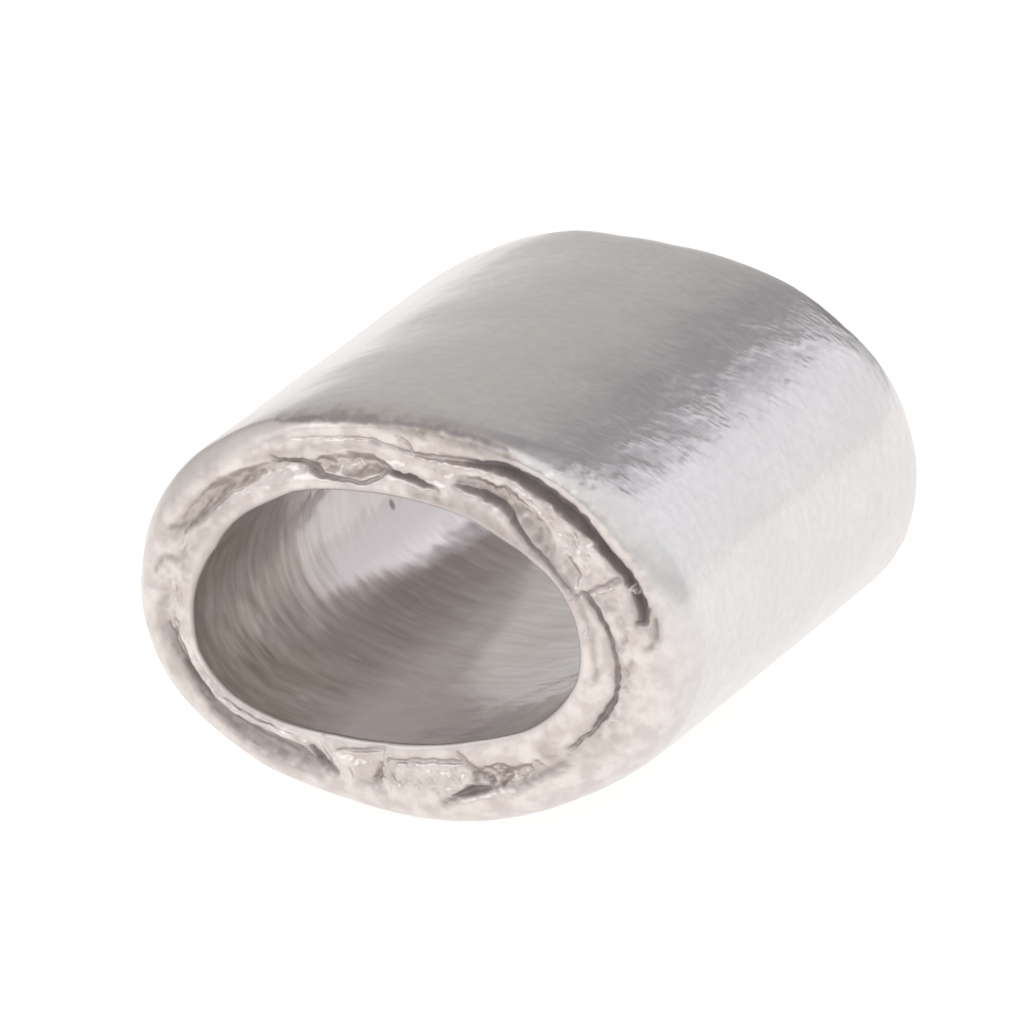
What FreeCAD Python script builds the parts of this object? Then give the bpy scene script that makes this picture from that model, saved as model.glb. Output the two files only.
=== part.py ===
import FreeCAD, Part
import math
import os
import Sketcher

# A wire rope ferrule: one short oval aluminium sleeve, cut off a drawn tube by shearing.
# Millimetres. The bore runs along Y, the wide direction is X and Z is up. The torn end faces -Y.
# The origin is under the middle of the sleeve, on the surface that it lies on.

# Driving sizes
SIZES = {
    # The bore takes two ropes side by side, and lies off the middle towards -X and -Z
    "bore_width": 4.15,
    "bore_height": 2.65,
    "bore_crown": 0.20,
    "bore_shift": 0.20,
    "bore_drop": 0.06,
    # The wall, at the narrow sides and at the broad sides, before the bore's shift
    "side_wall": 0.975,
    "flat_wall": 0.90,
    "outer_crown": 0.385,
    "sleeve_length": 6.65,
    # Edges rounded by tumbling
    "edge_round": 0.35,
    "mouth_round": 0.08,
    # Tears in the sheared end: a split gapes, a crack is narrow, a trough is broad and shallow
    "split_width": 0.16,
    "split_depth": 0.36,
    "crack_width": 0.08,
    "crack_depth": 0.18,
    "trough_width": 0.24,
    "trough_depth": 0.15,
}

# Where the tears run. Each station has an angle in degrees, from +X towards +Z round the bore;
# the share of the wall crossed there, from 0 at the bore to 1 at the outside;
# and the tear's width and depth there, as a share of its kind's.
TEARS = {
    "outer_split": ("split", [
        (124, 0.77, 0.15), (105, 0.66, 0.25), (92, 0.57, 0.40), (80, 0.51, 0.45),
        (69, 0.57, 0.70), (57, 0.67, 1.00), (44, 0.63, 1.00), (32, 0.56, 0.95),
        (24, 0.56, 0.70), (15, 0.60, 0.85), (7, 0.55, 0.40),
    ]),
    "first_crack": ("crack", [
        (95, 0.31, 0.50), (90, 0.30, 0.90), (82, 0.24, 1.00), (74, 0.19, 0.40),
    ]),
    "second_crack": ("crack", [
        (66, 0.29, 0.50), (58, 0.30, 1.20), (50, 0.28, 1.20), (42, 0.20, 1.00),
        (34, 0.15, 0.80), (25, 0.14, 0.60), (17, 0.15, 0.40),
    ]),
    "third_crack": ("crack", [
        (14, 0.20, 0.60), (8, 0.26, 0.80), (0, 0.31, 0.70), (-10, 0.36, 1.00),
        (-20, 0.38, 1.00), (-30, 0.38, 0.40),
    ]),
    "upper_trough": ("trough", [
        (166, 0.44, 0.30), (158, 0.42, 0.80), (148, 0.40, 1.00), (138, 0.42, 0.80),
        (130, 0.48, 0.40),
    ]),
    "torn_pocket": ("trough", [
        (123, 0.36, 0.30), (114, 0.31, 0.90), (106, 0.29, 1.10), (98, 0.30, 0.70),
        (94, 0.31, 0.35),
    ]),
    "lower_trough": ("trough", [
        (187, 0.50, 0.25), (199, 0.46, 0.45), (210, 0.45, 0.80), (221, 0.47, 1.10),
        (231, 0.48, 1.20), (239, 0.46, 0.90), (245, 0.47, 0.40),
    ]),
    "left_gap": ("crack", [(248, 0.54, 0.50), (243, 0.40, 1.20), (239, 0.27, 0.50)]),
    "middle_gap": ("crack", [(265, 0.53, 0.50), (262, 0.45, 1.00), (264, 0.25, 0.50)]),
    "right_gap": ("crack", [
        (286, 0.62, 0.40), (295, 0.54, 1.20), (300, 0.45, 1.00), (301, 0.30, 0.80),
        (301, 0.15, 0.40),
    ]),
}

# A tear's floor as a share of its width at the face, and how far its cutter stands proud
FLOOR_SHARE = 0.35
PROUD = 0.04

# How close counts as the same place
NEAR = 1e-6

# Half sizes of the two ovals, as expressions on the sheet
BORE_HALF_WIDTH = "(sizes.bore_width / 2)"
BORE_HALF_HEIGHT = "(sizes.bore_height / 2)"
OUTER_HALF_WIDTH = "(sizes.bore_width / 2 + sizes.side_wall)"
OUTER_HALF_HEIGHT = "(sizes.bore_height / 2 + sizes.flat_wall)"


def make_sheet(doc):
    """The spreadsheet of driving sizes, one aliased number to a row."""
    sheet = doc.addObject("Spreadsheet::Sheet", "sizes")
    for row, (alias, value) in enumerate(SIZES.items(), start=1):
        sheet.set(f"A{row}", alias)
        sheet.set(f"B{row}", str(value))
        sheet.setAlias(f"B{row}", alias)
    doc.recompute()
    return sheet


def origin_plane(body, role):
    """One of the body's own origin planes."""
    return next(item for item in body.Origin.OriginFeatures if item.Role == role)


def broad_radius(half_width, half_height, crown):
    """Radius of a broad side that is tangent to both end arcs of an oval."""
    end_radius = half_height - crown
    reach = half_width - end_radius
    return (reach**2 + half_height**2 - end_radius**2) / (2 * crown)


def arc(centre_x, centre_y, radius, start, end):
    """A circular arc in a sketch, anticlockwise between two angles in radians."""
    circle = Part.Circle(FreeCAD.Vector(centre_x, centre_y, 0), FreeCAD.Vector(0, 0, 1), radius)
    return Part.ArcOfCircle(circle, start, end)


def oval_sketch(body, name, half_width, half_height, crown):
    """An oval across the sleeve: two end arcs and two broad arcs that meet in tangency.

    The sizes are expressions on the sheet. A broad side rises above the end arcs' radius by the
    crown.
    """
    sketch = body.newObject("Sketcher::SketchObject", name)
    sketch.AttachmentSupport = [(origin_plane(body, "XZ_Plane"), "")]
    sketch.MapMode = "FlatFace"

    wide = float(sketch.evalExpression(half_width))
    high = float(sketch.evalExpression(half_height))
    rise = float(sketch.evalExpression(crown))
    end_radius = high - rise
    broad = broad_radius(wide, high, rise)
    reach = wide - end_radius
    drop = broad - high
    joint = math.atan2(drop, reach)

    right, top, left, bottom = sketch.addGeometry([
        arc(reach, 0, end_radius, -joint, joint),
        arc(0, -drop, broad, joint, math.pi - joint),
        arc(-reach, 0, end_radius, math.pi - joint, math.pi + joint),
        arc(0, drop, broad, math.pi + joint, 2 * math.pi - joint),
    ])
    start, end, centre = 1, 2, 3
    root, x_axis = -1, -1
    sketch.addConstraint([
        Sketcher.Constraint("Tangent", right, end, top, start),
        Sketcher.Constraint("Tangent", top, end, left, start),
        Sketcher.Constraint("Tangent", left, end, bottom, start),
        Sketcher.Constraint("Tangent", bottom, end, right, start),
        Sketcher.Constraint("Equal", right, left),
        Sketcher.Constraint("Equal", top, bottom),
        Sketcher.Constraint("PointOnObject", right, centre, x_axis),
        Sketcher.Constraint("PointOnObject", left, centre, x_axis),
    ])
    reach_expression = f"{half_width} - {half_height} + {crown}"
    driven = {
        "end_radius": (
            Sketcher.Constraint("Radius", right, end_radius),
            f"{half_height} - {crown}",
        ),
        "broad_radius": (
            Sketcher.Constraint("Radius", top, broad),
            f"(({reach_expression}) ^ 2 + {half_height} ^ 2"
            f" - ({half_height} - {crown}) ^ 2) / (2 * {crown})",
        ),
        "right_reach": (
            Sketcher.Constraint("DistanceX", root, start, right, centre, reach),
            reach_expression,
        ),
        "left_reach": (
            Sketcher.Constraint("DistanceX", left, centre, root, start, reach),
            reach_expression,
        ),
    }
    for label, (constraint, expression) in driven.items():
        index = sketch.addConstraint(constraint)
        sketch.renameConstraint(index, label)
        sketch.setExpression(f"Constraints.{label}", expression)
    return sketch


def end_edges(shape, half_length, half_width, half_height):
    """Names of the edges in the two end planes that stay within a half width and a half height."""
    names = []
    for number, edge in enumerate(shape.Edges, start=1):
        box = edge.BoundBox
        in_end = abs(abs(box.YMin) - half_length) < NEAR and box.YLength < NEAR
        across = max(-box.XMin, box.XMax) < half_width + NEAR
        upright = max(-box.ZMin, box.ZMax) < half_height + NEAR
        if in_end and across and upright:
            names.append(f"Edge{number}")
    return names


def make_sleeve(doc, sheet):
    """The sleeve with its bore and rounded edges, before the shear tore its end."""
    body = doc.addObject("PartDesign::Body", "sleeve")
    half_length = sheet.sleeve_length / 2

    outline = oval_sketch(
        body, "outer_oval", OUTER_HALF_WIDTH, OUTER_HALF_HEIGHT, "sizes.outer_crown"
    )
    blank = body.newObject("PartDesign::Pad", "blank")
    blank.Profile = outline
    blank.setExpression("Length", "sizes.sleeve_length")
    blank.SideType = "Symmetric"
    doc.recompute()

    rounded = body.newObject("PartDesign::Fillet", "rounded_ends")
    rounded.Base = (blank, end_edges(blank.Shape, half_length, math.inf, math.inf))
    rounded.setExpression("Radius", "sizes.edge_round")
    doc.recompute()
    solid_volume = rounded.Shape.Volume

    hole = oval_sketch(body, "bore_oval", BORE_HALF_WIDTH, BORE_HALF_HEIGHT, "sizes.bore_crown")
    hole.setExpression(".AttachmentOffset.Base.x", "-sizes.bore_shift")
    hole.setExpression(".AttachmentOffset.Base.y", "-sizes.bore_drop")
    bore = body.newObject("PartDesign::Pocket", "bore")
    bore.Profile = hole
    bore.Type = "ThroughAll"
    bore.SideType = "Symmetric"
    doc.recompute()
    if not bore.Shape.Volume < solid_volume:
        raise ValueError("the bore cuts nothing")

    mouth_width = sheet.bore_width / 2 + sheet.bore_shift
    mouth_height = sheet.bore_height / 2 + sheet.bore_drop
    mouths = body.newObject("PartDesign::Fillet", "rope_mouths")
    mouths.Base = (bore, end_edges(bore.Shape, half_length, mouth_width, mouth_height))
    mouths.setExpression("Radius", "sizes.mouth_round")
    doc.recompute()
    return body


def oval_point(angle, half_width, half_height, crown):
    """The point of an oval that its centre sees at an angle, as X and Z."""
    across, up = math.cos(angle), math.sin(angle)
    end_radius = half_height - crown
    reach = half_width - end_radius
    broad = broad_radius(half_width, half_height, crown)
    drop = broad - half_height
    end_ray = reach * abs(across) + math.sqrt(max(end_radius**2 - (reach * up) ** 2, 0))
    broad_ray = -drop * abs(up) + math.sqrt(broad**2 - (drop * across) ** 2)
    on_end = drop * (end_ray * abs(across) - reach) >= reach * end_ray * abs(up)
    ray = end_ray if on_end and reach > 0 else broad_ray
    return ray * across, ray * up


def face_point(sheet, degrees, share):
    """The point of the torn end face at an angle, a share of the way from the bore outwards."""
    angle = math.radians(degrees)
    bore_x, bore_z = oval_point(angle, sheet.bore_width / 2, sheet.bore_height / 2, sheet.bore_crown)
    outer_x, outer_z = oval_point(
        angle,
        sheet.bore_width / 2 + sheet.side_wall,
        sheet.bore_height / 2 + sheet.flat_wall,
        sheet.outer_crown,
    )
    bore_x -= sheet.bore_shift
    bore_z -= sheet.bore_drop
    across = bore_x + share * (outer_x - bore_x)
    up = bore_z + share * (outer_z - bore_z)
    return FreeCAD.Vector(across, -sheet.sleeve_length / 2, up)


def tear_section(middle, run, width, depth):
    """The section across a tear: wide at the face and narrow at its floor."""
    inward = FreeCAD.Vector(0, 1, 0)
    side = run.cross(inward).normalize()
    brim_half = width / 2 * (1 + PROUD * (1 - FLOOR_SHARE) / depth)
    brim = side * brim_half
    floor = side * (width / 2 * FLOOR_SHARE)
    top = middle - inward * PROUD
    deep = middle + inward * depth
    return Part.makePolygon([top - brim, top + brim, deep + floor, deep - floor, top - brim])


def make_tear(doc, sheet, name):
    """The space that one tear leaves in the sheared end, lofted through its stations."""
    kind, stations = TEARS[name]
    points = [face_point(sheet, degrees, share) for degrees, share, _ in stations]
    path = Part.BSplineCurve()
    path.interpolate(points)
    sections = []
    for point, (_, _, swell) in zip(points, stations):
        run = path.tangent(path.parameter(point))[0]
        width = swell * getattr(sheet, f"{kind}_width")
        depth = swell * getattr(sheet, f"{kind}_depth")
        sections.append(tear_section(point, run, width, depth))
    tear = doc.addObject("Part::Feature", name)
    tear.Shape = Part.makeLoft(sections, True, True)
    return tear


def make_ferrule(doc, sheet):
    """The finished piece: the sleeve with its torn end, lifted onto the surface it lies on."""
    sleeve = make_sleeve(doc, sheet)
    tears = doc.addObject("Part::MultiFuse", "tears")
    tears.Shapes = [make_tear(doc, sheet, name) for name in TEARS]
    ferrule = doc.addObject("Part::Cut", "torn_sleeve")
    ferrule.Base = sleeve
    ferrule.Tool = tears
    ferrule.Label = "ferrule"
    ferrule.setExpression(".Placement.Base.z", "sizes.bore_height / 2 + sizes.flat_wall")
    doc.recompute()
    if not ferrule.Shape.Volume < sleeve.Shape.Volume:
        raise ValueError("the tears cut nothing")
    return ferrule


def check(doc, pieces):
    """Stop before anything is written if a feature failed or a piece is not one valid solid."""
    for item in doc.Objects:
        if "Invalid" in item.State or "Error" in item.State:
            raise ValueError(f"{item.Label} failed: {item.State}")
    for piece in pieces:
        shape = piece.Shape
        if shape.isNull() or not shape.isValid() or len(shape.Solids) != 1:
            raise ValueError(f"{piece.Label} is not one valid solid")


def main():
    doc = FreeCAD.newDocument("wire_rope_ferrule")
    sheet = make_sheet(doc)
    pieces = [make_ferrule(doc, sheet)]
    doc.recompute()
    check(doc, pieces)
    os.makedirs("parts", exist_ok=True)
    for piece in pieces:
        piece.Shape.exportStep(f"parts/{piece.Label}.step")
        box = piece.Shape.BoundBox
        print(
            f"{piece.Label}: {box.XLength:.3f} x {box.YLength:.3f} x {box.ZLength:.3f} mm,"
            f" {piece.Shape.Volume:.3f} mm3"
        )


main()
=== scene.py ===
# %% [markdown]
# # A wire rope ferrule with a torn end
# The part is one short sleeve of drawn aluminium, oval outside and inside, in which two runs of
# wire rope lie side by side. It was cut off a longer tube by shearing, so its near end is torn
# into lips, cracks and flakes, and then it was tumbled until its outer edges were round.
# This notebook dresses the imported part: it makes the sleeve again with a fine mesh, tears its end,
# gives it the metal's finish, and sets it in a plain bright studio.

import math

import bpy
import numpy as np
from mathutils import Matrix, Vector


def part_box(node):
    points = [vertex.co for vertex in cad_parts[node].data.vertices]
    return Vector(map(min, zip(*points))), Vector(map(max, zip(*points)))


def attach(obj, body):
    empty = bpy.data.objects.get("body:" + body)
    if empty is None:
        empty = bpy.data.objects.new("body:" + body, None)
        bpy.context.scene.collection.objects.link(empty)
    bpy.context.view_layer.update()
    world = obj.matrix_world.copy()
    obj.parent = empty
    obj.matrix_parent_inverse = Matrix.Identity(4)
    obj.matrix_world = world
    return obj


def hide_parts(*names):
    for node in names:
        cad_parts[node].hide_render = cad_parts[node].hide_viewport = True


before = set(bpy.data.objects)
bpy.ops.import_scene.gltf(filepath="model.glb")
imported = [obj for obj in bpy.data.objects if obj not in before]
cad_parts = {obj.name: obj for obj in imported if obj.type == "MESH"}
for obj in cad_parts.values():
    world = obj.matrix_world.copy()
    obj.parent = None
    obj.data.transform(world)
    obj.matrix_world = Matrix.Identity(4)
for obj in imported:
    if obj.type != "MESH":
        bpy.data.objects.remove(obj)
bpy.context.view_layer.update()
low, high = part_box("ferrule")
print("packed ferrule, mm:", [round(side * 1000, 3) for side in high - low])

# %% [markdown]
# ## Sizes
# These are the driving sizes of the part's own drawing, in millimetres. The bore lies a little
# off the middle, towards -X and -Z, so the wall is thicker on the right and on top. Only the
# extra rounding is not in the drawing: it makes the worn edge rounder in some places.

# %% Name the sizes
MM = 0.001
BORE_WIDTH = 4.15
BORE_HEIGHT = 2.65
BORE_CROWN = 0.20
BORE_SHIFT = 0.20
BORE_DROP = 0.06
SIDE_WALL = 0.975
FLAT_WALL = 0.90
OUTER_CROWN = 0.385
LENGTH = 6.65
EDGE_ROUND = 0.35
EXTRA_ROUND = 0.22
MOUTH_ROUND = 0.08
HALF_WIDTH = BORE_WIDTH / 2 + SIDE_WALL
HALF_HEIGHT = BORE_HEIGHT / 2 + FLAT_WALL
print("drawn ferrule, mm:", 2 * HALF_WIDTH, LENGTH, 2 * HALF_HEIGHT)

# %% [markdown]
# ## Writing nodes as sums
# Both Geometry Nodes and shaders do arithmetic with Math nodes, which are slow to place one by
# one. A small class wraps a node's output, so that `1 - mask * 0.5` adds the Math nodes itself.
# Every other node comes from the one method `add`: settings first, then values or links.


# %% Wrap a socket and a tree
class Wire:
    """A node's output that can be added, multiplied and compared."""

    def __init__(self, board, socket):
        self.board = board
        self.socket = socket

    def math(self, operation, *others):
        values = dict(enumerate((self, *others)))
        return self.board.add("ShaderNodeMath", {"operation": operation}, values)

    def __add__(self, other):
        return self.math("ADD", other)

    def __radd__(self, other):
        return self.math("ADD", other)

    def __sub__(self, other):
        return self.math("SUBTRACT", other)

    def __rsub__(self, other):
        return self.board.number(other).math("SUBTRACT", self)

    def __mul__(self, other):
        return self.math("MULTIPLY", other)

    def __rmul__(self, other):
        return self.math("MULTIPLY", other)

    def __truediv__(self, other):
        return self.math("DIVIDE", other)

    def __ge__(self, other):
        return 1 - self.math("LESS_THAN", other)

    def __abs__(self):
        return self.math("ABSOLUTE")

    def squared(self):
        return self * self

    def root(self):
        return self.math("SQRT")

    def kept_within(self):
        """The value held between 0 and 1."""
        return self.math("MAXIMUM", 0.0).math("MINIMUM", 1.0)

    def step(self, start, end):
        """A smooth step from 0 at start to 1 at end."""
        return self.board.add(
            "ShaderNodeMapRange",
            {"interpolation_type": "SMOOTHSTEP"},
            {"Value": self, "From Min": start, "From Max": end},
        )


class Board:
    """A node tree, and the one method that places a node in it."""

    def __init__(self, tree):
        self.tree = tree

    def add(self, kind, settings=None, values=None, output=0):
        node = self.tree.nodes.new(kind)
        for name, value in (settings or {}).items():
            if name == "stops":
                self.set_stops(node.color_ramp, value)
            else:
                setattr(node, name, value)
        for name, value in (values or {}).items():
            if isinstance(value, Wire):
                self.tree.links.new(value.socket, node.inputs[name])
            else:
                node.inputs[name].default_value = value
        return Wire(self, node.outputs[output]) if node.outputs else node

    def set_stops(self, ramp, stops):
        """Gives a color ramp its stops, each a position and a color."""
        while len(ramp.elements) < len(stops):
            ramp.elements.new(1.0)
        for element, (position, color) in zip(ramp.elements, stops):
            element.position = position
            element.color = (*color, 1.0)

    def number(self, value):
        return self.add("ShaderNodeMath", {"operation": "ADD"}, {0: value, 1: 0.0})

    def gray(self, level):
        """A color whose three parts are the same level."""
        return self.add("ShaderNodeCombineXYZ", None, {"X": level, "Y": level, "Z": level})


print("node helpers ready")

# %% [markdown]
# ## The grid
# The sleeve is a ring with a closed profile: out of the bore, round the mouth, across the torn
# face, round the outer edge, along the outside and back through the bore. A grid that goes round
# and along that profile has no poles and no seams. Each point carries the numbers that say where
# it is on the profile, and no size yet, because the sizes belong to the node tree. The rows are
# close together on the torn face, where the small shapes are.

# %% Lay out the rows of the profile
COLUMNS = 640
MOUTH_ROWS, FACE_ROWS, EDGE_ROWS, SIDE_ROWS = 9, 72, 16, 24
FAR_EDGE_ROWS, FAR_FACE_ROWS, FAR_MOUTH_ROWS, BORE_ROWS = 8, 5, 4, 16
BORE_EASING = 1.6
QUARTER = math.pi / 2
ROW_WORDS = ("share", "mouth", "edge", "y_half", "y_mouth", "y_edge", "near")


def steps(count):
    """Evenly spaced fractions from 0 up to, but not including, 1."""
    return np.arange(count) / count


def profile_rows():
    """One row of numbers for each place on the profile, from the bore's near end outwards."""
    rows = []
    for f in steps(MOUTH_ROWS):
        turn = f * QUARTER
        rows.append((0, 1 - math.cos(turn), 1, -1, 1 - math.sin(turn), 0, 1))
    rows += [(f, 1, 1, -1, 0, 0, 1) for f in steps(FACE_ROWS)]
    for f in steps(EDGE_ROWS):
        turn = f * QUARTER
        rows.append((1, 1, 1 - math.sin(turn), -1, 0, 1 - math.cos(turn), 1))
    rows += [(1, 1, 0, 2 * f - 1, 0, 1 - 2 * f, 1 - f) for f in steps(SIDE_ROWS)]
    for f in steps(FAR_EDGE_ROWS):
        turn = (1 - f) * QUARTER
        rows.append((1, 1, 1 - math.sin(turn), 1, 0, math.cos(turn) - 1, 0))
    rows += [(1 - f, 1, 1, 1, 0, 0, 0) for f in steps(FAR_FACE_ROWS)]
    for f in steps(FAR_MOUTH_ROWS):
        turn = (1 - f) * QUARTER
        rows.append((0, 1 - math.cos(turn), 1, 1, math.sin(turn) - 1, 0, 0))
    for f in steps(BORE_ROWS):
        eased = 1 - (1 - f) ** BORE_EASING
        rows.append((0, 0, 1, 1 - 2 * eased, 2 * eased - 1, 0, 0))
    return np.array(rows, float)


rows = profile_rows()
print("rows:", len(rows), "triangles:", 2 * len(rows) * COLUMNS)

# %% [markdown]
# The near edge is rounder at the bottom and on the right, and sharper on top, and the far edge is
# rounder on top. So each column also carries its share of the extra rounding, which runs from the
# near edge's to the far edge's. It comes from two short lists of angles, in degrees from +X
# towards +Z, each with its share.

# %% Make the grid
ROUNDER = [(-180, 0.2), (-150, 0.2), (-130, 0.1), (-110, 0.8), (-90, 0.5), (-70, 0.2), (-55, 0.5)]
ROUNDER += [(-35, 1.3), (-10, 1.0), (15, 0.3), (45, 0.0), (65, -0.6), (120, -0.8), (145, 0.0)]
ROUNDER += [(180, 0.3)]
FAR_ROUNDER = [(-180, 0.0), (-55, -0.8), (-30, -0.9), (-5, -0.4), (20, -0.2), (45, 0.0), (62, 0.5)]
FAR_ROUNDER += [(80, 1.0), (95, 0.6), (110, -0.4), (125, -0.8), (140, 0.0), (180, 0.0)]


def along(stops, places):
    """Reads a value between given stops, each a place and a value."""
    marks, values = zip(*stops)
    return np.interp(places, marks, values)


def make_grid():
    """A ring-shaped grid, all at the origin, whose points carry their numbers as attributes."""
    turns = 2 * math.pi * np.arange(COLUMNS) / COLUMNS - math.pi
    count = len(rows)
    numbers = np.arange(count * COLUMNS).reshape(count, COLUMNS)
    across = np.roll(numbers, -1, axis=1)
    along_row = np.roll(numbers, -1, axis=0)
    corner = np.roll(across, -1, axis=0)
    quads = np.stack([numbers, along_row, corner, across], axis=2).reshape(-1, 4)
    mesh = bpy.data.meshes.new("sleeve_grid")
    mesh.from_pydata(np.zeros((numbers.size, 3)).tolist(), [], quads.tolist())
    values = {word: np.repeat(rows[:, i], COLUMNS) for i, word in enumerate(ROW_WORDS)}
    values["turn"] = np.tile(turns, count)
    near_and_far = [np.tile(along(stops, np.degrees(turns)), count) for stops in (ROUNDER, FAR_ROUNDER)]
    values["rounder"] = near_and_far[0] * values["near"] + near_and_far[1] * (1 - values["near"])
    for word, column in values.items():
        mesh.attributes.new(word, "FLOAT", "POINT").data.foreach_set("value", column.astype(np.float32))
    return mesh, values


grid_mesh, grid = make_grid()
print("points:", len(grid_mesh.vertices))

# %% [markdown]
# ## The sleeve's form
# Its outside and its bore are ovals of four arcs that meet in tangency: two end arcs and two
# broad ones. It could be modelled once by hand, but then no size could be changed. A Geometry
# Nodes tree works out where each ray from the middle leaves each oval, mixes the two by the
# point's numbers, and sets its place. All the sizes are named inputs of the tree.

# %% Build the tree
SIZES = {
    "Bore Width": BORE_WIDTH,
    "Bore Height": BORE_HEIGHT,
    "Bore Crown": BORE_CROWN,
    "Bore Shift": BORE_SHIFT,
    "Bore Drop": BORE_DROP,
    "Side Wall": SIDE_WALL,
    "Flat Wall": FLAT_WALL,
    "Outer Crown": OUTER_CROWN,
    "Length": LENGTH,
    "Edge Round": EDGE_ROUND,
    "Extra Round": EXTRA_ROUND,
    "Mouth Round": MOUTH_ROUND,
}


def oval_ray(cosine, sine, half_width, half_height, crown):
    """How far a ray from an oval's middle goes before it meets the oval.

    It takes numbers or wires, so that it can be used in the tree and outside it.
    """
    end_radius = half_height - crown
    reach = half_width - end_radius
    broad_radius = (reach * reach + half_height * half_height - end_radius * end_radius) / (
        crown * 2
    )
    drop = broad_radius - half_height
    level, upright = abs(cosine), abs(sine)
    inside = end_radius * end_radius - reach * upright * reach * upright
    end_ray = reach * level + positive_root(inside)
    broad_ray = positive_root(
        broad_radius * broad_radius - drop * level * drop * level
    ) - drop * upright
    on_end = drop * (end_ray * level - reach) >= reach * end_ray * upright
    return broad_ray + on_end * (end_ray - broad_ray)


def positive_root(value):
    """The square root, or zero where there is none."""
    if isinstance(value, Wire):
        return value.math("MAXIMUM", 0.0).root()
    return np.sqrt(np.maximum(value, 0))


def build_sleeve_tree(material):
    tree = bpy.data.node_groups.new("oval_sleeve", "GeometryNodeTree")
    tree.interface.new_socket("Grid", in_out="INPUT", socket_type="NodeSocketGeometry")
    sockets = {}
    for name, size in SIZES.items():
        socket = tree.interface.new_socket(name, in_out="INPUT", socket_type="NodeSocketFloat")
        socket.subtype = "DISTANCE"
        socket.default_value = size * MM
        sockets[name] = socket.identifier
    tree.interface.new_socket("Sleeve", in_out="OUTPUT", socket_type="NodeSocketGeometry")
    board = Board(tree)
    given = tree.nodes.new("NodeGroupInput")
    size = {name: Wire(board, given.outputs[name]) for name in SIZES}

    def carried(name):
        return board.add("GeometryNodeInputNamedAttribute", {"data_type": "FLOAT"}, {"Name": name})

    turn = carried("turn")
    cosine, sine = turn.math("COSINE"), turn.math("SINE")
    bore_width, bore_height = size["Bore Width"] / 2, size["Bore Height"] / 2
    outer_width = bore_width + size["Side Wall"]
    outer_height = bore_height + size["Flat Wall"]
    bore_ray = oval_ray(cosine, sine, bore_width, bore_height, size["Bore Crown"])
    outer_ray = oval_ray(cosine, sine, outer_width, outer_height, size["Outer Crown"])
    bore_x = bore_ray * cosine - size["Bore Shift"]
    bore_z = bore_ray * sine - size["Bore Drop"]
    wall_x = outer_ray * cosine - bore_x
    wall_z = outer_ray * sine - bore_z
    wall = (wall_x.squared() + wall_z.squared()).root()

    edge_round = size["Edge Round"] + size["Extra Round"] * carried("rounder")
    mouth_round = size["Mouth Round"]
    share = carried("share")
    out_of_bore = (1 - share) * carried("mouth") * mouth_round
    out_of_bore = out_of_bore + share * (wall - carried("edge") * edge_round)
    part_way = out_of_bore / wall
    x = bore_x + part_way * wall_x
    z = bore_z + part_way * wall_z + outer_height
    y = carried("y_half") * size["Length"] / 2
    y = y + carried("y_mouth") * mouth_round + carried("y_edge") * edge_round
    place = board.add("ShaderNodeCombineXYZ", None, {"X": x, "Y": y, "Z": z})
    grid_in = Wire(board, given.outputs["Grid"])
    placed = board.add("GeometryNodeSetPosition", None, {"Geometry": grid_in, "Position": place})
    smooth = board.add("GeometryNodeSetShadeSmooth", None, {"Geometry": placed})
    real = board.add("GeometryNodeRealizeInstances", None, {"Geometry": smooth})
    dressed = board.add(
        "GeometryNodeSetMaterial", None, {"Geometry": real, "Material": material}
    )
    result = tree.nodes.new("NodeGroupOutput")
    tree.links.new(dressed.socket, result.inputs["Sleeve"])
    return tree, sockets


aluminium = bpy.data.materials.new("tumbled_aluminium")
sleeve_tree, size_sockets = build_sleeve_tree(aluminium)
print("nodes in the sleeve's tree:", len(sleeve_tree.nodes))

# %% Grow the sleeve and keep its mesh
grower = bpy.data.objects.new("sleeve_grower", grid_mesh)
bpy.context.scene.collection.objects.link(grower)
modifier = grower.modifiers.new("oval sleeve", "NODES")
modifier.node_group = sleeve_tree
for name, identifier in size_sockets.items():
    modifier[identifier] = SIZES[name] * MM
bpy.context.view_layer.update()
seen = grower.evaluated_get(bpy.context.evaluated_depsgraph_get())
sleeve_mesh = bpy.data.meshes.new_from_object(seen)
sleeve_mesh.name = "ferrule_sleeve"
bpy.data.objects.remove(grower)
sleeve = bpy.data.objects.new("ferrule_sleeve", sleeve_mesh)
bpy.context.scene.collection.objects.link(sleeve)
points = np.zeros(len(sleeve_mesh.vertices) * 3)
sleeve_mesh.vertices.foreach_get("co", points)
points = points.reshape(-1, 3) / MM
print("sleeve, mm:", np.round(np.ptp(points, axis=0), 3))

# %% [markdown]
# ## Grain
# Torn and tumbled metal is uneven at every scale. A lattice of random numbers, read smoothly
# between its points, gives that unevenness, the same each time because its seed is fixed.


# %% Make the grain
SEED = 7
SIDE = 64
OCTAVE_SHIFT = 17.3
LATTICE = np.random.default_rng(SEED).uniform(-1, 1, (SIDE, SIDE, SIDE))


def grain(places, size, octaves=1):
    """Smooth noise between about -1 and 1, whose lumps are about a size in millimetres."""
    total, weight = 0.0, 0.0
    for octave in range(octaves):
        scaled = places / size * 2**octave + OCTAVE_SHIFT * (octave + 1)
        base = np.floor(scaled).astype(int)
        f = scaled - base
        f = f * f * (3 - 2 * f)
        value = 0.0
        for corner in range(8):
            offset = np.array([corner & 1, corner >> 1 & 1, corner >> 2 & 1])
            at = (base + offset) % SIDE
            nearness = np.prod(np.where(offset, f, 1 - f), axis=1)
            value = value + nearness * LATTICE[at[:, 0], at[:, 1], at[:, 2]]
        total = total + value * 0.5**octave
        weight += 0.5**octave
    return total / weight


print("grain, lowest and highest:", np.round([f(grain(points, 0.3)) for f in (np.min, np.max)], 2))
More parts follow.
